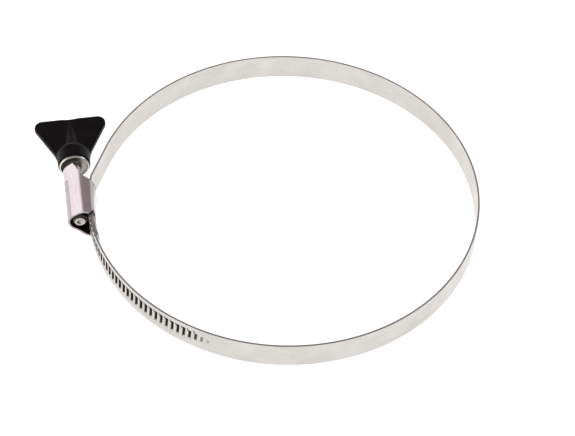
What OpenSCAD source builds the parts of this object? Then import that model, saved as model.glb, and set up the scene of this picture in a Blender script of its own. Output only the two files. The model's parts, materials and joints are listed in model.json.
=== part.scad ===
// Worm-drive hose clamp with a thumb key, in millimetres.
// The hose axis is Z, and the origin is on it at the middle of the strap's width.
// The housing is on the -X side, and the screw lies along the hose's tangent there.

/* [Hose] */
// Outside diameter of the hose that the clamp is set to
hose_d = 118; // [112:0.5:120]

/* [Strap] */
// Width of the strap
band_w = 9; // [8.5:0.1:9.5]
// Thickness of the strap
band_t = 0.7; // [0.6:0.05:0.8]
// Number of grooves pressed into the strap's free half
groove_count = 36; // [20:1:36]
// Length of a groove, across the strap
groove_l = 5.4; // [4:0.1:6]
// Width of a groove, along the strap
groove_w = 1.1; // [1:0.05:1.2]
// Depth of a groove
groove_d = 0.5; // [0.4:0.05:0.5]
// Angle where the strap leaves the hose and runs straight to the housing
leave_angle = 164.5; // [162:0.5:166]
// Angle where the strap's fixed end stops, under the grooves below the housing
tail_angle = 202.5; // [198:0.5:203]

/* [Housing] */
// Place of the housing around the hose, in degrees from +X
housing_angle = 190.7; // [189:0.1:191]
// Angle from the housing to where the free half lies on the hose again
fan_angle = 60; // [55:1:65]
// Thickness of the housing's sheet
sheet_t = 0.65; // [0.55:0.05:0.7]
// Outside radius of the tube round the screw
tube_r = 3.75; // [3.7:0.01:3.9]
// Room beside the strap inside the housing, on both sides together
side_play = 1; // [0.4:0.1:1.2]

/* [Screw] */
// Pitch of the screw, equal to the groove spacing
pitch = 2; // [1.8:0.05:2.2]
// Radius over the thread's crests
crest_r = 2.95; // [2.85:0.05:2.95]
// Depth of the thread
thread_d = 0.75; // [0.7:0.05:0.8]
// Radius of the smooth neck that runs in the housing's collar
neck_r = 2.1; // [1.9:0.05:2.15]
// Width across the flats of the hexagon head inside the key
hex_w = 7; // [6.5:0.5:7]
// Radius of the flange under the key
flange_r = 4.7; // [4.5:0.1:4.8]

/* [Key] */
// Radius of the key's hub at its open end
hub_r = 5.05; // [5.05:0.05:5.3]
// Half of the key's span across the tips of its wings
wing_reach = 11.4; // [10:0.1:12]
// Radius of the rounded corner at each wing's tip
wing_corner = 2.6; // [2:0.1:3]
// Thickness of the wings
wing_t = 2.4; // [2:0.1:3]
// Length of the whole key along the screw
key_l = 20.1; // [18:0.1:21]

/* [Hidden] */
$fn = 72;

fit_gap = 0.05;     // clearance between the strap's layers
step = 0.003;       // small step that keeps joined faces from lying on each other
lap = 0.08;         // length by which joined stretches of strap run into each other
split_gap = 0.02;   // degrees left open on each side of the split in the strap
saddle_t = sheet_t - 0.15;  // the folded flanges are pressed thinner, so that they clear the hose

function unit(a) = [cos(a), sin(a)];

// Strap resting on the hose
hose_r = hose_d / 2;
mid_r = hose_r + band_t / 2;
split_angle = housing_angle + fan_angle;

// Strap lifted through the housing: every layer there is an arc about seat_c
tongue_h = hose_r + sheet_t + 3 * fit_gap + 1.5 * band_t;
seat_r = (tongue_h - mid_r * cos(fan_angle)) / (1 - cos(fan_angle));
seat_c = -(seat_r - mid_r) * unit(split_angle);
tongue_top = seat_r + band_t / 2;
tongue_low = seat_r - band_t / 2;
fixed_r = tongue_low - fit_gap - band_t / 2;
plate_top = fixed_r - band_t / 2 - fit_gap;
plate_low = plate_top - saddle_t;

// Bend where the straight run of the strap turns in under the housing
bend_r = 4;
run_dir = unit(leave_angle + 90);
bend_from = (mid_r - bend_r) * unit(leave_angle) - seat_c;
run_l = -bend_from * run_dir
      + sqrt(pow(bend_from * run_dir, 2) - bend_from * bend_from + pow(fixed_r - bend_r, 2));
bend_c = bend_from + seat_c + run_l * run_dir;
bend_end = 180 + atan2(seat_c.y - bend_c.y, seat_c.x - bend_c.x);

// Screw: its height over the hose axis, and the place along it nearest the strap
screw_h = tongue_h + band_t / 2 + crest_r - groove_d + fit_gap;
mesh_s = seat_c * unit(housing_angle - 90);
thread_from = 0.9;
thread_to = 14.7;
thread_points = 24; // points round the thread's section
groove_turn = 180 / PI * pitch / tongue_top;
groove_slant = atan(pitch / (2 * PI * (crest_r - groove_d / 4)));
grooves_past = 3;   // grooves on the key's side of the one nearest the screw
fading = 4;         // grooves that die away at the plain end
tip_angle = housing_angle - (grooves_past + 1.1) * groove_turn;

// Housing
channel_w = band_w + side_play;
shell_w = channel_w + 2 * sheet_t;
tube_in = tube_r - sheet_t;
skirt_h = screw_h - 1.3;    // where the sloping skirts meet the upright side walls
mouth_s = -1.4;             // mouth, at its base; it leans back towards its top
mouth_lean = 1.7;
hood_s = 21.1;              // end of the hood, over the neck
collar_from = 14.9;
collar_l = 1;
corner_r = 0.8;

// Key
key_from = 23.6;
hub_l = 5.6;
rim_out = 0.5;      // how far the flange's rim stands out of the key
flange_t = 0.5;
recess_l = 0.55;    // depth of the key's recess for the flange

// Local frame of the housing: X away from the hose axis, Y up, Z along the screw to the key
module at_housing() {
    rotate([90, 0, housing_angle]) children();
}

module on_screw(s) {
    at_housing() translate([screw_h, 0, s]) children();
}

// A stretch of flat strip, w wide and t thick, bent to an arc about a centre
module strip_arc(centre, r, from, to, t, w) {
    translate([centre.x, centre.y, 0])
        rotate([0, 0, from])
            rotate_extrude(angle = to - from, $fn = 360)
                translate([r - t / 2, -w / 2]) square([t, w]);
}

module band_hoop() {
    color("#d8d3cd") {
        strip_arc([0, 0], mid_r, split_angle + split_gap, 360 + leave_angle, band_t, band_w);
        rotate([0, 0, leave_angle])
            translate([mid_r - band_t / 2 + step, -lap, -band_w / 2 + step])
                cube([band_t - 2 * step, run_l + 2 * lap, band_w - 2 * step]);
        strip_arc(bend_c, bend_r, leave_angle, bend_end, band_t, band_w);
        strip_arc(seat_c, fixed_r, bend_end - lap, tail_angle, band_t - 2 * step, band_w - 2 * step);
    }
}

// Cutter for one groove, on the free half's outer face at an angle about seat_c
module groove(a, size) {
    translate([seat_c.x, seat_c.y, 0])
        rotate([0, 0, a])
            translate([tongue_top - groove_d * size, 0, 0])
                rotate([-groove_slant, 0, 0])
                    translate([0, -groove_w / 2, -groove_l * size / 2])
                        cube([2 * groove_d, groove_w, groove_l * size]);
}

module band_tongue() {
    color("#d8d3cd")
        difference() {
            strip_arc(seat_c, seat_r, tip_angle, split_angle - split_gap, band_t, band_w);
            for (i = [0:groove_count - 1])
                groove(housing_angle + (i - grooves_past) * groove_turn,
                       min(1, (groove_count - i + 1) / (fading + 1)));
            for (side = [-1, 1])
                translate([seat_c.x, seat_c.y, 0])
                    rotate([0, 0, tip_angle])
                        translate([seat_r, 0, side * band_w / 2])
                            rotate([45, 0, 0]) cube([4 * band_t, 2.4, 2.4], center = true);
        }
}

// Section of the housing's tube: a circle with two sides that run off it down to a base
module tube_section(r, half_w, side_h, low_h) {
    bite = r - 0.02;
    reach = norm([side_h - screw_h, half_w]);
    a = atan2(half_w, side_h - screw_h) - acos(bite / reach);
    translate([screw_h, 0]) circle(r);
    polygon([[low_h, -half_w], [side_h, -half_w], [screw_h + bite * cos(a), -bite * sin(a)],
             [screw_h + bite * cos(a), bite * sin(a)], [side_h, half_w], [low_h, half_w]]);
}

// Strip with rounded lower edges, bent about seat_c, that gives the housing its base
module base_form() {
    half = shell_w / 2;
    translate([seat_c.x, seat_c.y, 0])
        rotate([0, 0, 165])
            rotate_extrude(angle = 40, $fn = 360) {
                translate([plate_low + corner_r, -half]) square([12, shell_w]);
                translate([plate_low, corner_r - half])
                    square([2 * corner_r, shell_w - 2 * corner_r]);
                for (side = [-1, 1])
                    translate([plate_low + corner_r, side * (half - corner_r)])
                        circle(corner_r, $fn = 48);
            }
}

// Room inside the tube between two places along the screw, kept clear of the saddle plate
module tube_room(from, to) {
    difference() {
        at_housing()
            translate([0, 0, from])
                linear_extrude(to - from)
                    tube_section(tube_in, channel_w / 2 - 0.02, skirt_h - 0.2, tongue_h - 3);
        translate([seat_c.x, seat_c.y, -band_w])
            cylinder(r = tongue_low, h = 2 * band_w, $fn = 360);
    }
}

// The housing seen from the side: X away from the hose axis, Y along the screw
module side_outline() {
    low_h = tongue_h - 3;
    high_h = screw_h + tube_r + 1;
    polygon([[high_h, mouth_s + mouth_lean], [low_h, mouth_s], [low_h, 11.5],
             [tongue_h - 0.3, 13.3], [skirt_h - 0.3, 15.7], [skirt_h + 0.7, 17.9],
             [skirt_h + 1.4, 20], [skirt_h + 1.7, hood_s], [high_h, hood_s]]);
}

module housing() {
    tube_from = mouth_s - 1;
    tube_to = hood_s + 1;
    color("#c9c2bd")
        difference() {
            union() {
                intersection() {
                    at_housing()
                        translate([0, 0, tube_from])
                            linear_extrude(tube_to - tube_from)
                                tube_section(tube_r, shell_w / 2 + 0.05, skirt_h, tongue_h - 4);
                    base_form();
                    at_housing()
                        translate([0, 2 * band_w, 0])
                            rotate([90, 0, 0])
                                linear_extrude(4 * band_w) side_outline();
                }
                // Saddle: the folded flanges between the strap and the hose
                strip_arc(seat_c, (plate_low + plate_top) / 2, 180, 193,
                          saddle_t - 2 * step, shell_w - 2 * corner_r);
            }
            strip_arc(seat_c, (plate_top + tongue_top + fit_gap) / 2, 165, 205,
                      tongue_top + fit_gap - plate_top, channel_w);
            tube_room(tube_from - 1, collar_from);
            tube_room(collar_from + collar_l, tube_to + 1);
            on_screw(0) cylinder(r = neck_r + 0.08, h = tube_to);
        }
}

// Thread section: the radius falls from crest to root on each side of angle 0
module thread_section() {
    crest_half = 0.25;
    root_half = 0.45;
    function depth(along) =
        min(1, max(0, (along - crest_half) / (root_half - crest_half))) * thread_d;
    polygon([for (i = [0:thread_points - 1])
        let (a = 360 * i / thread_points, along = pitch * min(a, 360 - a) / 360)
            (crest_r - depth(along)) * unit(a)]);
}

module worm_screw() {
    thread_l = thread_to - thread_from;
    color("#cfcac4") {
        on_screw(thread_from)
            rotate([0, 0, 180 + 360 * (thread_from - mesh_s) / pitch])
                linear_extrude(thread_l, twist = -360 * thread_l / pitch,
                               slices = ceil(16 * thread_l / pitch), segments = thread_points)
                    thread_section();
        // Journal at the mouth, with a centre dimple
        difference() {
            on_screw(0.1) cylinder(r = 1.9, h = thread_from);
            on_screw(-0.9) cylinder(r = 1.05, h = 1.3);
        }
        on_screw(thread_to - 0.2) cylinder(r = neck_r, h = key_from - thread_to + 0.4);
        // Dished flange: a disc with a rim that stands towards the housing
        difference() {
            on_screw(key_from - rim_out) cylinder(r = flange_r, h = rim_out + flange_t);
            on_screw(key_from - rim_out - 1) cylinder(r = flange_r - 0.5, h = rim_out + 1);
        }
        on_screw(key_from + flange_t - 0.1)
            cylinder(r = hex_w / 2 / cos(30), h = hub_l - 1.2, $fn = 6);
    }
}

// Flat outline of the wings: X across, Y along the screw from the key's open end
module wing_outline() {
    corner = [wing_reach - wing_corner, key_l - wing_corner];
    foot = [hub_r, hub_l - 1.8];
    bite = wing_corner - 0.01;
    to_foot = foot - corner;
    a = atan2(to_foot.y, to_foot.x) + acos(bite / norm(to_foot));
    edge = corner + bite * unit(a);
    top = corner + [0, bite];
    notch_w = 2.5;
    notch_d = 0.3;
    polygon([[-foot.x, foot.y], foot, edge, corner, top, [notch_w, top.y], [0, top.y - notch_d],
             [-notch_w, top.y], [-top.x, top.y], [-corner.x, corner.y], [-edge.x, edge.y]]);
    for (side = [-1, 1])
        translate([side * corner.x, corner.y]) circle(wing_corner);
}

module thumb_key() {
    color("#171518")
        difference() {
            union() {
                on_screw(key_from) cylinder(r1 = hub_r, r2 = hub_r + 0.3, h = hub_l);
                on_screw(key_from + hub_l - 0.02) cylinder(r1 = 3.4, r2 = 1.5, h = key_l - hub_l - 0.6);
                on_screw(key_from)
                    rotate([90, 0, 0])
                        linear_extrude(wing_t, center = true) wing_outline();
            }
            on_screw(key_from - 1) cylinder(r = flange_r + 0.04, h = recess_l + 1);
            on_screw(key_from)
                cylinder(r = hex_w / 2 / cos(30) + 0.04, h = hub_l - 0.6, $fn = 6);
        }
}

band_hoop();
band_tongue();
housing();
worm_screw();
thumb_key();
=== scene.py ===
"""Worm-drive hose clamp with a thumb key: the finished pieces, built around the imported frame, in metres."""

import json
import math

import bmesh
import bpy
from mathutils import Matrix, Vector


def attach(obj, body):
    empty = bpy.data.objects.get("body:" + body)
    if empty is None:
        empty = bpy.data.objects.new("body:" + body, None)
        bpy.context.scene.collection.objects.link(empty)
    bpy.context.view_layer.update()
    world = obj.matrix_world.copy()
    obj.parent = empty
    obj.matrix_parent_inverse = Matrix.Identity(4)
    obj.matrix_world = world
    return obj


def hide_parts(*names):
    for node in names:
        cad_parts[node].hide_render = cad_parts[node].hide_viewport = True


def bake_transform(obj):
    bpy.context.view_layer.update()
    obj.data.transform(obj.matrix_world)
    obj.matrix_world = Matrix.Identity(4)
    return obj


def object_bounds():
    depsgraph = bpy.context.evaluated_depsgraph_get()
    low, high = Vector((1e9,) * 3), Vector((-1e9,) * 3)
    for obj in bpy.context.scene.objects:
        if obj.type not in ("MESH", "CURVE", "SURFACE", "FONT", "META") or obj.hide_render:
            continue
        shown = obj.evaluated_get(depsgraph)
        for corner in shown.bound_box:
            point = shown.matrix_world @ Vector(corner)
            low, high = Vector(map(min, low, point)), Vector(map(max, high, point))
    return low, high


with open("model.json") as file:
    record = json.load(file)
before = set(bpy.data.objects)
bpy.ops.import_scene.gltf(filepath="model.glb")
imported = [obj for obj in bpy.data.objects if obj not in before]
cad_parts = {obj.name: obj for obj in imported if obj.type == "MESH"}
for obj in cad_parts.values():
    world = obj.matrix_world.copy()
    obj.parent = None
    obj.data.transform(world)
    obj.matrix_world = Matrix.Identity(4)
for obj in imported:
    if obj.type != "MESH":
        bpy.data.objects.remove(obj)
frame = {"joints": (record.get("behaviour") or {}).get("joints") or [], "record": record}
cad_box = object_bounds()

# --------------------------------------------------------------------------------------------
# Fixed half of the strap. Cold-rolled stainless strip, cut to width and tumbled so that its
# edges are rounded, then rolled into a hoop. Its end runs straight into the housing, bends
# in under the screw and stops just past the mouth, under the grooved half.
# --------------------------------------------------------------------------------------------
MM = 0.001
UP = Vector((0, 0, 1))
joint = {j["name"]: j for j in frame["joints"]}
bore = frame["record"]["mounts"][0]["dims"]

strap_t = 0.7 * MM
strap_w = bore["length_mm"] * MM
strap_edge = 0.22 * MM
end_corner = 1.2 * MM
layer_gap = 0.05 * MM
leave_angle = math.radians(164.5)
tail_angle = math.radians(202.5)
bend_r = 4 * MM
hose_r = bore["r_mm"] * MM
hoop_r = hose_r + strap_t / 2
plain_step = math.radians(1.2)

# The free half turns about the seat, which is the centre of every layer in the housing
seat = Vector(joint["band_feed"]["pos_m"])
split_angle = math.atan2(-seat.y, -seat.x) % math.tau
free_r = hoop_r + seat.length
fixed_r = free_r - strap_t - layer_gap


def unit(angle):
    return Vector((math.cos(angle), math.sin(angle), 0))


def angle_about(point, centre):
    return math.atan2(point.y - centre.y, point.x - centre.x) % math.tau


def strip_section(face_cuts):
    """The strip's cross-section, standing at angle 0 on the hoop, as one face."""
    strip = bmesh.new()
    bmesh.ops.create_grid(strip, x_segments=1, y_segments=1, size=0.5)
    bmesh.ops.scale(strip, vec=(strap_t, strap_w, 1), verts=strip.verts)
    bmesh.ops.bevel(strip, geom=strip.verts[:], offset=strap_edge, segments=3, profile=0.5,
                    affect="VERTICES", material=-1)
    outer = [e for e in strip.edges if all(v.co.x > 0.499 * strap_t for v in e.verts)]
    inner = [e for e in strip.edges if all(v.co.x < -0.499 * strap_t for v in e.verts)]
    bmesh.ops.subdivide_edges(strip, edges=outer, cuts=face_cuts)
    bmesh.ops.subdivide_edges(strip, edges=inner, cuts=3)
    bmesh.ops.rotate(strip, matrix=Matrix.Rotation(math.pi / 2, 3, "X"), verts=strip.verts)
    bmesh.ops.translate(strip, vec=(hoop_r, 0, 0), verts=strip.verts)
    return strip, strip.edges[:]


def roll(strip, edges, centre, angle, steps):
    """Rolls the strip on about a centre, and returns the edges of its new end."""
    turned = bmesh.ops.spin(strip, geom=edges, cent=centre, axis=UP, angle=angle, steps=steps)
    return [g for g in turned["geom_last"] if isinstance(g, bmesh.types.BMEdge)]


def round_corners(strip, centre, end, corner, way):
    """Rounds the two corners of a strip's end, which is at an angle about a centre."""
    for v in strip.verts:
        arc = (v.co - centre).to_2d().length
        back = way * (end - angle_about(v.co, centre)) * arc
        if back < corner and arc > hose_r:
            cut = corner - math.sqrt(corner**2 - (corner - max(0, back)) ** 2)
            v.co.z *= (strap_w / 2 - cut) / (strap_w / 2)


def brushed_grain():
    """Fine scratches that run one way, and a slow mottle, for metal that was rolled or drawn."""
    grain = bpy.data.node_groups.new("brushed_grain", "ShaderNodeTree")
    face = grain.interface
    face.new_socket("Vector", in_out="INPUT", socket_type="NodeSocketVector")
    face.new_socket("Lines", in_out="INPUT", socket_type="NodeSocketFloat")
    face.new_socket("Length", in_out="INPUT", socket_type="NodeSocketFloat")
    face.new_socket("Scratches", in_out="OUTPUT", socket_type="NodeSocketFloat")
    face.new_socket("Mottle", in_out="OUTPUT", socket_type="NodeSocketFloat")
    nodes, links = grain.nodes, grain.links
    given, made = nodes.new("NodeGroupInput"), nodes.new("NodeGroupOutput")
    stretch = nodes.new("ShaderNodeCombineXYZ")
    stretched = nodes.new("ShaderNodeVectorMath")
    stretched.operation = "MULTIPLY"
    lines = nodes.new("ShaderNodeTexNoise")
    lines.inputs["Scale"].default_value = 1
    lines.inputs["Detail"].default_value = 3
    mottle = nodes.new("ShaderNodeTexNoise")
    mottle.inputs["Scale"].default_value = 160
    mottle.inputs["Detail"].default_value = 2
    links.new(given.outputs["Length"], stretch.inputs["X"])
    links.new(given.outputs["Lines"], stretch.inputs["Y"])
    links.new(given.outputs["Lines"], stretch.inputs["Z"])
    links.new(given.outputs["Vector"], stretched.inputs[0])
    links.new(stretch.outputs["Vector"], stretched.inputs[1])
    links.new(stretched.outputs["Vector"], lines.inputs["Vector"])
    links.new(given.outputs["Vector"], mottle.inputs["Vector"])
    links.new(lines.outputs["Fac"], made.inputs["Scratches"])
    links.new(mottle.outputs["Fac"], made.inputs["Mottle"])
    return grain


grain_group = brushed_grain()


def steel(name, light, dark, rough, lines, length, bump):
    """Stainless steel: grain that follows the piece's grain_at attribute, with painted shade: near black,
    unmetallic and dull where the piece's painted shade attribute is high.
    """
    material = bpy.data.materials.new(name)
    material.use_nodes = True
    nodes, links = material.node_tree.nodes, material.node_tree.links
    shader = nodes["Principled BSDF"]
    shader.inputs["Specular IOR Level"].default_value = 0.1
    where = nodes.new("ShaderNodeAttribute")
    where.attribute_name = "grain_at"
    painted_shade = nodes.new("ShaderNodeAttribute")
    painted_shade.attribute_name = "painted_shade"
    grain = nodes.new("ShaderNodeGroup")
    grain.node_tree = grain_group
    grain.inputs["Lines"].default_value = lines
    grain.inputs["Length"].default_value = length
    both = nodes.new("ShaderNodeMath")
    both.operation = "MULTIPLY"
    tone = nodes.new("ShaderNodeMapRange")
    tone.inputs["From Min"].default_value = 0.12
    tone.inputs["From Max"].default_value = 0.38
    colour = nodes.new("ShaderNodeMix")
    colour.data_type = "RGBA"
    colour.inputs["A"].default_value = (*dark, 1)
    colour.inputs["B"].default_value = (*light, 1)
    # Painted shade: the piece's painted shade attribute mixes the colour towards near black, and below makes
    # it less metallic and rougher
    shade_paint = nodes.new("ShaderNodeMix")
    shade_paint.data_type = "RGBA"
    shade_paint.inputs["B"].default_value = (0.008, 0.005, 0.003, 1)
    bare = nodes.new("ShaderNodeMapRange")
    bare.inputs["From Min"].default_value = 0.6
    bare.inputs["To Min"].default_value = 1
    bare.inputs["To Max"].default_value = 0
    dull = nodes.new("ShaderNodeMath")
    dull.operation = "MULTIPLY_ADD"
    dull.inputs[1].default_value = 0.35
    sheen = nodes.new("ShaderNodeMapRange")
    sheen.inputs["From Min"].default_value = 0.25
    sheen.inputs["From Max"].default_value = 0.75
    sheen.inputs["To Min"].default_value = rough[0]
    sheen.inputs["To Max"].default_value = rough[1]
    dents = nodes.new("ShaderNodeBump")
    dents.inputs["Strength"].default_value = bump
    dents.inputs["Distance"].default_value = 0.02 * MM
    links.new(where.outputs["Vector"], grain.inputs["Vector"])
    links.new(grain.outputs["Scratches"], both.inputs[0])
    links.new(grain.outputs["Mottle"], both.inputs[1])
    links.new(both.outputs["Value"], tone.inputs["Value"])
    links.new(tone.outputs["Result"], colour.inputs["Factor"])
    links.new(colour.outputs["Result"], shade_paint.inputs["A"])
    links.new(painted_shade.outputs["Fac"], shade_paint.inputs["Factor"])
    links.new(shade_paint.outputs["Result"], shader.inputs["Base Color"])
    links.new(painted_shade.outputs["Fac"], bare.inputs["Value"])
    links.new(bare.outputs["Result"], shader.inputs["Metallic"])
    links.new(grain.outputs["Scratches"], sheen.inputs["Value"])
    links.new(painted_shade.outputs["Fac"], dull.inputs[0])
    links.new(sheen.outputs["Result"], dull.inputs[2])
    links.new(dull.outputs["Value"], shader.inputs["Roughness"])
    links.new(grain.outputs["Scratches"], dents.inputs["Height"])
    links.new(dents.outputs["Normal"], shader.inputs["Normal"])
    return material


def piece(name, mesh_in, material, body, node, sharp=40):
    """Turns a finished bmesh into a piece that stands for a CAD node."""
    bmesh.ops.recalc_face_normals(mesh_in, faces=mesh_in.faces)
    mesh = bpy.data.meshes.new(name)
    mesh_in.to_mesh(mesh)
    mesh_in.free()
    mesh.shade_smooth()
    mesh.set_sharp_from_angle(angle=math.radians(sharp))
    mesh.materials.append(material)
    made = bpy.data.objects.new(name, mesh)
    bpy.context.scene.collection.objects.link(made)
    if body:
        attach(made, body)
    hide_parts(node)
    return made


def ease(x):
    x = min(1, max(0, x))
    return x * x * (3 - 2 * x)


def mark_strip(strip, shade_paint=None):
    """Stores where each point lies along and across the strip, for its grain, and how dark it is painted: a
    little darker along the slit edges, plus any painted shade given.
    """
    at = strip.verts.layers.float_vector.new("grain_at")
    painted_shade = strip.verts.layers.float.new("painted_shade")
    for v in strip.verts:
        v[at] = Vector((angle_about(v.co, Vector()) * hoop_r, v.co.z, v.co.to_2d().length))
        # A little darker along the slit edges
        slit_edge = ease((abs(v.co.z) - strap_w / 2 + 0.6 * strap_edge) / (0.5 * strap_edge))
        v[painted_shade] = max(0.2 * slit_edge, shade_paint(v.co) if shade_paint else 0)


strap_steel = steel("rolled_strip", light=(0.595, 0.575, 0.555), dark=(0.515, 0.495, 0.47),
                    rough=(0.24, 0.36), lines=5200, length=160, bump=0.35)

run_along = unit(leave_angle + math.pi / 2)
bend_from = (hoop_r - bend_r) * unit(leave_angle) - seat
run_l = -bend_from.dot(run_along) + math.sqrt(
    bend_from.dot(run_along) ** 2 - bend_from.length_squared + (fixed_r - bend_r) ** 2)
bend_centre = bend_from + seat + run_l * run_along
bend_end = angle_about(bend_centre, seat)

hoop, end = strip_section(face_cuts=3)
end = roll(hoop, end, Vector(), leave_angle, round(leave_angle / plain_step))
run = bmesh.ops.extrude_edge_only(hoop, edges=end)["geom"]
bmesh.ops.translate(hoop, vec=run_l * run_along,
                    verts=[g for g in run if isinstance(g, bmesh.types.BMVert)])
end = [g for g in run if isinstance(g, bmesh.types.BMEdge)]
end = [e for e in end if all(v in run for v in e.verts)]
end = roll(hoop, end, bend_centre, bend_end - leave_angle, 10)
end = roll(hoop, end, seat, tail_angle - bend_end, 40)
bmesh.ops.contextual_create(hoop, geom=end)
round_corners(hoop, seat, tail_angle, end_corner, 1)
mark_strip(hoop)
piece("strap_fixed_half", hoop, strap_steel, "housing", "band_hoop")

# --------------------------------------------------------------------------------------------
# Free half of the strap. The same strip with slanted grooves pressed into its outer face for
# the screw's thread. The plain part is drawn along behind the grooves when the key is turned.
# --------------------------------------------------------------------------------------------
housing_angle = angle_about(Vector(joint["screw_turn"]["pos_m"]), Vector())
pitch = 2 * MM
free_outer_r = free_r + strap_t / 2
groove_turn = pitch / free_outer_r
groove_slant = math.radians(6.2)
grooves = 36
grooves_past_screw = 3
grooves_fading = 4
groove_w = 1.25 * MM
groove_l = 5.8 * MM
groove_d = 0.5 * MM
groove_end = 0.5 * MM
tip_corner = 2.2 * MM
tip_angle = housing_angle - (grooves_past_screw + 1.1) * groove_turn
fine_step = 0.13 * MM / free_outer_r


def nearest_groove(point):
    """How far a point is along the strap from the middle of its groove, and how full that groove is."""
    turned = (angle_about(point, seat) - housing_angle) * free_outer_r
    turned -= point.z * math.tan(groove_slant)
    number = min(grooves - 1, max(0, round(turned / pitch) + grooves_past_screw))
    full = min(1, (grooves - number) / (grooves_fading + 1))
    return turned - (number - grooves_past_screw) * pitch, full


def pressed(point):
    """How deep the nearest groove is pressed at a point, from 0 to 1."""
    off, full = nearest_groove(point)
    over = (abs(point.z) - groove_l / 2 * (0.4 + 0.6 * full)) / groove_end
    return full * (1 - ease((abs(off) / (groove_w / 2) - 0.35) / 0.65)) * (1 - ease(over + 1))


def painted_groove_shade(point):
    """Painted shade in a groove: heavy in the deep upper part, with a painted shadow line at its top on one
    side.
    """
    off, full = nearest_groove(point)
    off, up = off / MM, point.z / MM
    past_mouth = math.degrees(angle_about(point, seat) - housing_angle)
    # Near the mouth, painted shade on the strap's upper edge beside each groove
    if up > (strap_w / 2 - 1.6 * strap_edge) / MM:
        return (1 - ease((past_mouth - 9) / 6)) * (1 - ease((abs(off + 0.2) - 0.38) / 0.2))
    wider = 0.27 * ease((48 - past_mouth) / 24)
    deep = ease((off + 0.53 + wider) / 0.16) * (1 - ease((off - 0.28) / 0.16))
    deep *= ease((up + 0.6 + 1.7 * full) / 0.9) * ease((0.8 + 2.3 * full - up) / 0.6)
    lean = off + 0.38 + 0.42 * (up - 1.9)
    shadow_line = (1 - ease((abs(lean) - 0.18) / 0.16)) * ease((up - 1.5) / 0.4) * ease((3.5 - up) / 0.5)
    return max(deep * min(1, 1.6 * full), 0.8 * shadow_line * (full > 0.5))


free, end = strip_section(face_cuts=44)
end = roll(free, end, Vector(), split_angle - math.tau, round((math.tau - split_angle) / plain_step))
end = roll(free, end, seat, tip_angle - split_angle, round((split_angle - tip_angle) / fine_step))
bmesh.ops.contextual_create(free, geom=end)
round_corners(free, seat, tip_angle, tip_corner, -1)
# Painted shade in the grooves of the outer face
mark_strip(free, lambda at: painted_groove_shade(at) if (at - seat).to_2d().length > free_r else 0)
for v in free.verts:
    from_seat = Vector((v.co.x - seat.x, v.co.y - seat.y, 0))
    if from_seat.length > free_outer_r - 0.01 * MM and angle_about(v.co, seat) < split_angle:
        v.co -= from_seat.normalized() * groove_d * pressed(v.co)
strap_free = piece("strap_free_half", free, strap_steel, None, "band_tongue", sharp=55)
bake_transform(strap_free)

# --------------------------------------------------------------------------------------------
# Housing. One blank of bright stainless sheet, rolled round the screw: a tube with sloping
# skirts, upright side walls, and two flanges folded under the strap that meet at a seam. A
# crimp across its back holds the screw's neck.
# --------------------------------------------------------------------------------------------
screw_foot = Vector(joint["screw_turn"]["pos_m"])
to_key = -Vector(joint["screw_turn"]["axis"])
outward = screw_foot.normalized()
screw_h = screw_foot.length
# Columns are the local axes: X away from the hose, Y up, Z along the screw to the key
at_housing = Matrix((outward, UP, to_key)).transposed().to_4x4()

sheet_t = 0.62 * MM
tube_r = 3.75 * MM
wall_z = 5.65 * MM
skirt_h = screw_h - 1.35 * MM
base_h = hose_r
fold_r = 1.45 * MM
seam = 0.06 * MM
crimp_s = 15.3 * MM
crimp_w = 0.45 * MM
crimp_d = 0.25 * MM
bend_l = 1.1 * MM
burr_w = 0.09 * MM
rows = 60
mesh_s = seat.dot(to_key)


def skirt_tangent():
    """Angle round the tube where the sloping skirt leaves it."""
    down = skirt_h - screw_h
    return math.atan2(wall_z, down) - math.acos(tube_r / math.hypot(wall_z, down))


def sheet_line():
    """Half of the housing's outer outline, from the seam to the top: points (height, sideways)."""
    line = [Vector((base_h, seam + i * (wall_z - fold_r - seam) / 6)) for i in range(7)]
    line += [Vector((base_h + fold_r - fold_r * math.cos(a), wall_z - fold_r + fold_r * math.sin(a)))
             for a in (math.pi / 2 * i / 6 for i in range(1, 7))]
    line += [Vector((base_h + fold_r + i * (skirt_h - bend_l - base_h - fold_r) / 5, wall_z))
             for i in range(1, 6)]
    leave = skirt_tangent()
    corner = Vector((skirt_h, wall_z))
    touch = Vector((screw_h + tube_r * math.cos(leave), tube_r * math.sin(leave)))
    slope = (touch - corner).normalized()
    before, after = corner - Vector((bend_l, 0)), corner + slope * bend_l
    line += [before.lerp(corner, t).lerp(corner.lerp(after, t), t) for t in (i / 8 for i in range(1, 9))]
    line += [after.lerp(touch, t) for t in (0.35, 0.7, 1)]
    line += [Vector((screw_h + tube_r * math.cos(a), tube_r * math.sin(a)))
             for a in (leave * (1 - i / 14) for i in range(1, 15))]
    return line


def between(h, steps):
    """Straight-line value from a short table of (height, place along the screw)."""
    for (h0, s0), (h1, s1) in zip(steps, steps[1:]):
        if h <= h1:
            return s0 + (s1 - s0) * max(0, (h - h0) / (h1 - h0))
    return steps[-1][1]


def mouth_at(h, z):
    """Where the sheet begins: it leans back upwards, and the folds are relieved."""
    lean = between(h, [(base_h, -1.9 * MM), (base_h + 1.6 * MM, -1.3 * MM),
                       (skirt_h + 0.4 * MM, -0.5 * MM), (screw_h + 0.9 * MM, 0.2 * MM),
                       (screw_h + tube_r, 0.4 * MM)])
    relief = math.exp(-(((h - base_h - 0.3 * MM) / (0.8 * MM)) ** 2))
    relief *= ease((abs(z) - wall_z + 1.6 * MM) / (1.2 * MM))
    return lean + 1.9 * MM * relief


def hood_at(h):
    """Where the sheet ends: square over the neck, then swept down to the flanges."""
    return between(h, [(base_h, 10.9 * MM), (base_h + MM, 12.6 * MM),
                       (base_h + 1.5 * MM, 13.35 * MM), (base_h + 2.25 * MM, 14.2 * MM),
                       (skirt_h - 0.2 * MM, 15.75 * MM), (screw_h - 0.6 * MM, 17.9 * MM),
                       (screw_h, 20 * MM), (screw_h + 0.35 * MM, 21 * MM),
                       (screw_h + tube_r, 21.15 * MM)])


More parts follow.
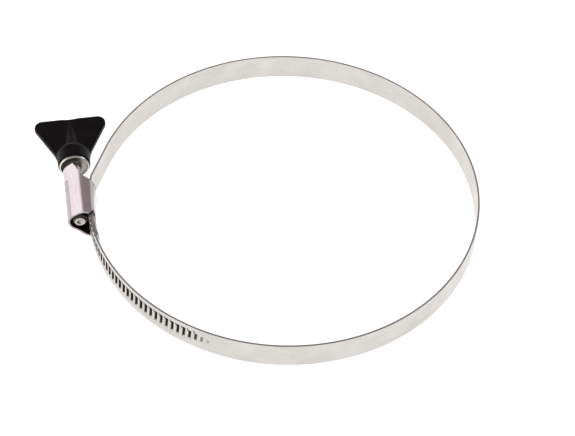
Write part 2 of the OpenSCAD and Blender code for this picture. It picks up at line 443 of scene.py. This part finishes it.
shell = bmesh.new()
half = sheet_line()
outline = half + [Vector((p.x, -p.y)) for p in reversed(half[:-1])]
start = [shell.verts.new((p.x, p.y, 0)) for p in outline]
front = [shell.edges.new(pair) for pair in zip(start, start[1:])]
for _ in range(rows):
    grown = bmesh.ops.extrude_edge_only(shell, edges=front)["geom"]
    fresh = [g for g in grown if isinstance(g, bmesh.types.BMVert)]
    bmesh.ops.translate(shell, vec=(0, 0, 1 / rows), verts=fresh)
    front = [g for g in grown if isinstance(g, bmesh.types.BMEdge) and all(v in fresh for v in g.verts)]
# Each point holds its height, its place sideways and its share of the way from mouth to hood
grain_at = shell.verts.layers.float_vector.new("grain_at")
outer_shade = shell.verts.layers.float.new("outer_shade")
for v in shell.verts:
    h, z, share = v.co
    s = mouth_at(h, z) + share * (hood_at(h) - mouth_at(h, z))
    around = math.degrees(math.atan2(z, h - screw_h))
    v[grain_at] = Vector((s, math.radians(around) * tube_r, 0))
    # The flanges follow the curve of the hose and the walls stay straight, so the folds widen
    drop = hose_r - math.sqrt(hose_r**2 - s**2)
    sag = drop * max(0, 1 - (h - base_h) / fold_r)
    if h < base_h + fold_r:
        in_fold = max(0, abs(z) - wall_z + fold_r) / fold_r
        flat_z = wall_z - fold_r - drop
        z = math.copysign(flat_z * min(1, abs(z) / (wall_z - fold_r)) + in_fold * (fold_r + drop), z)
    bite = math.exp(-(((s - crimp_s) / crimp_w) ** 2)) * (1 - ease((abs(around) - 36) / 14))
    # Painted shade: the crimp's shadow, a painted reflection of a shadow over the outer side below it, a dark
    # painted line beside the skirt's crease on that side, painted shade in the folds, and a painted shadow
    # line where the flanges end under the hood
    past_crimp = ease((s - crimp_s + 0.8 * MM) / MM)
    shade = (1 - ease((abs(around - 8) - 32) / 10)) * (1 - 0.65 * past_crimp)
    # A dark painted line on the tube beside the skirt's crease, below the crimp
    drawn = math.exp(-(((around - 45) / 5) ** 2)) * (1 - past_crimp)
    folded = (1 - ease((h - base_h - 0.6 * fold_r) / (0.3 * fold_r))) * ease((abs(z) - 2 * MM) / MM)
    cut_edge_shadow = ease((share - 0.94) / 0.03) * (1 - ease((h - base_h - 0.3 * MM) / (0.3 * MM)))
    v[outer_shade] = max(0.7 * bite, 0.36 * shade, 0.5 * drawn, 0.35 * folded, 0.85 * cut_edge_shadow)
    v.co = Vector((h - sag - crimp_d * bite, z, s))
bmesh.ops.recalc_face_normals(shell, faces=shell.faces)
middle = max(shell.faces, key=lambda f: f.calc_center_median().x)
if middle.normal.x < 0:
    bmesh.ops.reverse_faces(shell, faces=shell.faces)
outside = set(shell.verts)
bmesh.ops.solidify(shell, geom=shell.faces[:], thickness=sheet_t)
painted_shade = shell.loops.layers.float.new("painted_shade")
# Painted shade: the sheet's cut edges are painted dark, darkest low at the hood end where the flange's edge
# casts a shadow line, and the hidden inner face is painted black
for face in shell.faces:
    shown = [v in outside for v in face.verts]
    for corner in face.loops:
        if all(shown):
            corner[painted_shade] = corner.vert[outer_shade]
        elif any(shown):
            low_hood = corner.vert.co.z > 9 * MM and corner.vert.co.x < base_h + MM
            corner[painted_shade] = 0.85 if low_hood else 0.4
        else:
            corner[painted_shade] = 1
bmesh.ops.transform(shell, matrix=at_housing, verts=shell.verts)

housing_steel = steel("bright_sheet", light=(0.70, 0.62, 0.645), dark=(0.60, 0.525, 0.545),
                      rough=(0.13, 0.22), lines=3800, length=220, bump=0.2)
housing_shell = piece("housing_shell", shell, housing_steel, "housing", "housing",
                      sharp=38)
burr = housing_shell.modifiers.new("rounded_cut_edges", "BEVEL")
burr.width = burr_w
burr.segments = 2
burr.limit_method = "ANGLE"
burr.angle_limit = math.radians(50)

# --------------------------------------------------------------------------------------------
# Worm screw. Turned from bright steel bar with a rolled right-hand thread: a journal with a
# centre dimple at the mouth, the thread, a smooth neck, and a dished flange under the key.
# --------------------------------------------------------------------------------------------
root_r = 2.2 * MM
thread_from = 0.9 * MM
thread_to = 14.7 * MM
turn_steps = 40
merge_gap = 0.002 * MM

screw = bmesh.new()

# One turn of thread outline is swept along the screw, so that its ends meet the next turn's
thread_line = [(0, 0), (0.72, 0), (0.86, 0.22), (1.02, 0.66), (1.12, 0.75), (1.4, 0.75),
               (1.5, 0.66), (1.66, 0.22), (1.8, 0), (2, 0)]
crest_at = 1.26 * MM
turns = math.ceil((thread_to - thread_from) / pitch) + 2
first_s = mesh_s - crest_at - pitch * math.ceil((mesh_s - thread_from) / pitch) - pitch
coil = [screw.verts.new((screw_h - root_r - d * MM, 0, first_s + x * MM)) for x, d in thread_line]
coil += [screw.edges.new(pair) for pair in zip(coil, coil[1:])]
bmesh.ops.spin(screw, geom=coil, cent=(screw_h, 0, 0), axis=(0, 0, 1), angle=turns * math.tau,
               dvec=(0, 0, pitch / turn_steps), steps=turns * turn_steps)
bmesh.ops.remove_doubles(screw, verts=screw.verts, dist=merge_gap)
for v in screw.verts:
    out = Vector((v.co.x - screw_h, v.co.y, 0))
    if out.length > root_r + 0.01 * MM:
        runout = ease((v.co.z - thread_from) / pitch) * ease((thread_to - v.co.z) / pitch)
        v.co -= out.normalized() * (out.length - root_r) * (1 - runout)
for limit, away in ((thread_from, -1), (thread_to, 1)):
    whole = screw.verts[:] + screw.edges[:] + screw.faces[:]
    cut = bmesh.ops.bisect_plane(screw, geom=whole, plane_co=(0, 0, limit), plane_no=(0, 0, away),
                                 clear_outer=True)
    rim = [g for g in cut["geom_cut"] if isinstance(g, bmesh.types.BMEdge)]
    bmesh.ops.edgeloop_fill(screw, edges=rim)


def turned(points):
    """A closed turned solid from the (place along the screw, radius) points of half its outline, in mm."""
    made = [screw.verts.new((screw_h + r * MM, 0, s * MM)) for s, r in points]
    line = [screw.edges.new(pair) for pair in zip(made, made[1:])]
    bmesh.ops.spin(screw, geom=made + line, cent=(screw_h, 0, 0), axis=(0, 0, 1), angle=math.tau,
                   steps=64, use_merge=True)
    poles = [v for v in screw.verts if math.hypot(v.co.x - screw_h, v.co.y) < merge_gap]
    bmesh.ops.remove_doubles(screw, verts=poles, dist=merge_gap)


# Journal, which turns up in the mouth, with a centre dimple
turned([(0.75, 0), (0.7, 0.35), (0.4, 0.8), (0.15, 1.05), (0.1, 1.15), (0.12, 1.45), (0.18, 1.62),
        (0.32, 1.75), (0.9, 1.78), (1.0, 2.0), (1.2, 2.0), (1.2, 0)])
# Neck, dished flange with a rolled rim, and the stub that the key grips
turned([(14.4, 0), (14.4, 2.1), (22.9, 2.1), (23.3, 2.25), (23.5, 2.6), (23.58, 3.2), (23.58, 3.8),
        (23.5, 4.05), (23.2, 4.2), (23.06, 4.26), (23.0, 4.38), (23.0, 4.52), (23.08, 4.65),
        (23.25, 4.7), (24.0, 4.7), (24.1, 4.6), (24.1, 3.9), (28.0, 3.5), (28.0, 0)])

grain_at = screw.verts.layers.float_vector.new("grain_at")
painted_shade = screw.verts.layers.float.new("painted_shade")
for v in screw.verts:
    out = Vector((v.co.x - screw_h, v.co.y))
    v[grain_at] = Vector((math.atan2(out.y, out.x) * 4 * MM, v.co.z, out.length))
    # Painted shade: the journal's end and its centre dimple in the mouth, darker away from the hose; the
    # thread inside the housing; the neck under the hood, lighter towards the flange; the flange's dish,
    # darker towards its top and away from the hose
    if v.co.z < 0.8 * MM:
        dimple = ease((out.length - 0.3 * MM) / (0.2 * MM))
        dimple *= 1 - ease((out.length - 0.85 * MM) / (0.2 * MM))
        v[painted_shade] = max(0.3, 0.85 * dimple * ease((out.x + 0.7 * MM) / MM))
    elif v.co.z < thread_to:
        v[painted_shade] = 0.9
    elif v.co.z < 22.85 * MM and out.length < 2.4 * MM:
        v[painted_shade] = 1 - 0.6 * ease((v.co.z - 21.9 * MM) / (0.4 * MM))
    elif 22.95 * MM < v.co.z < 24 * MM and out.length < 4.25 * MM:
        v[painted_shade] = 0.45 + 0.5 * ease((out.x + 0.5 * out.y + 2 * MM) / (3 * MM))
bmesh.ops.transform(screw, matrix=at_housing, verts=screw.verts)
screw_steel = steel("turned_bar", light=(0.72, 0.69, 0.65), dark=(0.60, 0.57, 0.53),
                    rough=(0.14, 0.26), lines=4200, length=260, bump=0.25)
piece("screw_turned", screw, screw_steel, "screw", "worm_screw", sharp=42)

# --------------------------------------------------------------------------------------------
# Thumb key. One moulding in black nylon, pressed over the screw's head: a round hub, two flat
# wings in one plane with rounded tips, and a tapering spine that runs up the middle.
# --------------------------------------------------------------------------------------------
key_s = 23.6 * MM
hub_r = 5.05 * MM
hub_l = 5.6 * MM
key_l = 20.1 * MM
wing_reach = 11.4 * MM
wing_corner = 2.6 * MM
wing_t = 2.4 * MM
wing_edge = 1.05 * MM
fuse_step = 0.19 * MM

key = bmesh.new()


def key_round(points):
    """A closed round solid of the key from (place along the key, radius) points, in mm."""
    made = [key.verts.new((screw_h + r * MM, 0, key_s + s * MM)) for s, r in points]
    line = [key.edges.new(pair) for pair in zip(made, made[1:])]
    bmesh.ops.spin(key, geom=made + line, cent=(screw_h, 0, 0), axis=(0, 0, 1), angle=math.tau,
                   steps=72, use_merge=True)


def wing_line():
    """Half of the wings' outline from the foot at the hub to the notch: points (across, along)."""
    foot = Vector((hub_r, hub_l - 1.8 * MM))
    centre = Vector((wing_reach - wing_corner, key_l - wing_corner))
    to_foot = foot - centre
    low = math.atan2(to_foot.y, to_foot.x) + math.acos(wing_corner / to_foot.length)
    tip = [centre + wing_corner * Vector((math.cos(a), math.sin(a)))
           for a in (low + (math.pi / 2 - low) * i / 14 for i in range(15))]
    notch = [Vector((2.6 * MM, key_l)), Vector((1.1 * MM, key_l - 0.22 * MM)),
             Vector((0, key_l - 0.3 * MM))]
    root, leave = Vector((hub_r, hub_l - 4.4 * MM)), foot.lerp(tip[0], 0.22)
    fillet = [root.lerp(foot, t).lerp(foot.lerp(leave, t), t) for t in (i / 8 for i in range(9))]
    return [Vector((hub_r - MM, root.y))] + fillet + tip + notch


# Hub with a recess for the flange, then the spine
key_round([(0.62, 0), (0.62, 4.76), (0.05, 4.78), (0, 4.86), (0, 4.95), (0.12, 5.05), (4.4, 5.25),
           (5.1, 5.15), (5.7, 4.8), (6.1, 4.2), (6.3, 3.4), (6.35, 0)])
key_round([(5.4, 0), (5.4, 2.9), (7, 2.5), (12, 1.8), (17.8, 1.3), (19, 1.05), (19.5, 0.5), (19.6, 0)])
half = wing_line()
edge = half + [Vector((-p.x, p.y)) for p in reversed(half[:-1])]
flat = key.faces.new([key.verts.new((screw_h + p.x, -wing_t / 2, key_s + p.y)) for p in edge])
slab = bmesh.ops.extrude_face_region(key, geom=[flat])["geom"]
bmesh.ops.translate(key, vec=(0, wing_t, 0), verts=[g for g in slab if isinstance(g, bmesh.types.BMVert)])
lid = [g for g in slab if isinstance(g, bmesh.types.BMFace)]
rims = {e for f in [flat, *lid] if len(f.verts) > 4 for e in f.edges}
bmesh.ops.bevel(key, geom=list(rims), offset=wing_edge, segments=6, profile=0.5, affect="EDGES",
                material=-1, clamp_overlap=True)
bmesh.ops.recalc_face_normals(key, faces=key.faces)

# Hub, wings and spine are fused and smoothed, so that they meet in soft fillets as a moulding's do
rough_mesh = bpy.data.meshes.new("thumb_key_rough")
key.to_mesh(rough_mesh)
key.free()
rough = bpy.data.objects.new("thumb_key_rough", rough_mesh)
bpy.context.scene.collection.objects.link(rough)
fuse = rough.modifiers.new("fuse", "REMESH")
fuse.mode = "VOXEL"
fuse.voxel_size = fuse_step
fused = bpy.data.meshes.new_from_object(rough.evaluated_get(bpy.context.evaluated_depsgraph_get()))
bpy.data.objects.remove(rough)
key = bmesh.new()
key.from_mesh(fused)
for _ in range(6):
    bmesh.ops.smooth_vert(key, verts=key.verts, factor=0.5, use_axis_x=True, use_axis_y=True,
                          use_axis_z=True)
bmesh.ops.transform(key, matrix=at_housing, verts=key.verts)


def moulded_black():
    """Satin black nylon: a fine spark-eroded texture and faint flow marks."""
    material = bpy.data.materials.new("moulded_black")
    material.use_nodes = True
    nodes, links = material.node_tree.nodes, material.node_tree.links
    shader = nodes["Principled BSDF"]
    shader.inputs["Specular IOR Level"].default_value = 0.06
    where = nodes.new("ShaderNodeTexCoord")
    texture = nodes.new("ShaderNodeTexNoise")
    texture.inputs["Scale"].default_value = 5200
    texture.inputs["Detail"].default_value = 2
    flow = nodes.new("ShaderNodeTexNoise")
    flow.inputs["Scale"].default_value = 190
    flow.inputs["Detail"].default_value = 3
    colour = nodes.new("ShaderNodeMix")
    colour.data_type = "RGBA"
    colour.inputs["A"].default_value = (0.0016, 0.0010, 0.0012, 1)
    colour.inputs["B"].default_value = (0.0032, 0.0022, 0.0025, 1)
    satin = nodes.new("ShaderNodeMapRange")
    satin.inputs["From Min"].default_value = 0.3
    satin.inputs["From Max"].default_value = 0.7
    satin.inputs["To Min"].default_value = 0.3
    satin.inputs["To Max"].default_value = 0.42
    skin = nodes.new("ShaderNodeBump")
    skin.inputs["Strength"].default_value = 0.22
    skin.inputs["Distance"].default_value = 0.02 * MM
    links.new(where.outputs["Object"], texture.inputs["Vector"])
    links.new(where.outputs["Object"], flow.inputs["Vector"])
    links.new(flow.outputs["Fac"], colour.inputs["Factor"])
    links.new(colour.outputs["Result"], shader.inputs["Base Color"])
    links.new(flow.outputs["Fac"], satin.inputs["Value"])
    links.new(satin.outputs["Result"], shader.inputs["Roughness"])
    links.new(texture.outputs["Fac"], skin.inputs["Height"])
    links.new(skin.outputs["Normal"], shader.inputs["Normal"])
    return material


piece("thumb_key_moulding", key, moulded_black(), "screw", "thumb_key", sharp=70)

# --------------------------------------------------------------------------------------------
# Table, light and camera. A plain pale table under soft studio light: a pale surround near the
# horizon, a darker ceiling, and wide lamps that light the table but don't show in the metal.
# --------------------------------------------------------------------------------------------
table_gap = 0.02 * MM
table = bmesh.new()
bmesh.ops.create_grid(table, x_segments=1, y_segments=1, size=1.5)
bmesh.ops.translate(table, vec=(0, 0, cad_box[0][2] - table_gap), verts=table.verts)
table_mesh = bpy.data.meshes.new("table")
table.to_mesh(table_mesh)
table.free()
table_top = bpy.data.objects.new("table", table_mesh)
bpy.context.scene.collection.objects.link(table_top)
opal_glass = bpy.data.materials.new("lit_opal_glass")
opal_glass.use_nodes = True
opal = opal_glass.node_tree.nodes["Principled BSDF"]
opal.inputs["Base Color"].default_value = (0.2, 0.2, 0.2, 1)
opal.inputs["Roughness"].default_value = 0.9
opal.inputs["Specular IOR Level"].default_value = 0.1
opal.inputs["Emission Color"].default_value = (1, 1, 1, 1)
opal.inputs["Emission Strength"].default_value = 0.95
table_mesh.materials.append(opal_glass)

world = bpy.data.worlds.new("studio")
bpy.context.scene.world = world
world.use_nodes = True
nodes, links = world.node_tree.nodes, world.node_tree.links
looking = nodes.new("ShaderNodeTexCoord")
parts = nodes.new("ShaderNodeSeparateXYZ")
rise = nodes.new("ShaderNodeValToRGB")
rise.color_ramp.elements[0].position = 0.0
rise.color_ramp.elements[0].color = (1.0, 1.0, 1.0, 1)
rise.color_ramp.elements[1].position = 1.0
rise.color_ramp.elements[1].color = (0.26, 0.25, 0.255, 1)
for place, tone in ((0.36, (1.0, 0.99, 1.0, 1)), (0.6, (0.25, 0.225, 0.225, 1)),
                    (0.86, (0.235, 0.21, 0.215, 1))):
    stop = rise.color_ramp.elements.new(place)
    stop.color = tone
links.new(looking.outputs["Generated"], parts.inputs["Vector"])
links.new(parts.outputs["Z"], rise.inputs["Fac"])
links.new(rise.outputs["Color"], nodes["Background"].inputs["Color"])
nodes["Background"].inputs["Strength"].default_value = 1.35


def lamp(name, place, size, watts):
    """A square soft lamp aimed at the clamp, left out of reflections."""
    data = bpy.data.lights.new(name, "AREA")
    data.size = size
    data.energy = watts
    made = bpy.data.objects.new(name, data)
    bpy.context.scene.collection.objects.link(made)
    aim = Vector(place).to_track_quat("Z", "Y").to_matrix().to_4x4()
    made.matrix_world = Matrix.Translation(place) @ aim
    made.visible_glossy = False


lamp("overhead", (0.05, 0.1, 1.2), 1.6, 26)
lamp("left_fill", (-0.8, -0.5, 0.7), 0.9, 7)

view_distance = 0.49942
view_height = math.radians(48.71)
view_roll = 0.02925
camera_data = bpy.data.cameras.new("camera")
camera_data.lens = 100.7
camera_data.sensor_width = 36
camera_data.shift_x = 0.00257
camera_data.shift_y = -0.03249
camera_data.clip_start = 0.01
camera = bpy.data.objects.new("camera", camera_data)
bpy.context.scene.collection.objects.link(camera)
stand = Vector((0, -view_distance * math.cos(view_height), view_distance * math.sin(view_height)))
camera.matrix_world = (Matrix.Translation(stand) @ stand.to_track_quat("Z", "Y").to_matrix().to_4x4()
                       @ Matrix.Rotation(view_roll, 4, "Z"))
bpy.context.scene.camera = camera
bpy.context.scene.view_settings.view_transform = "Standard"
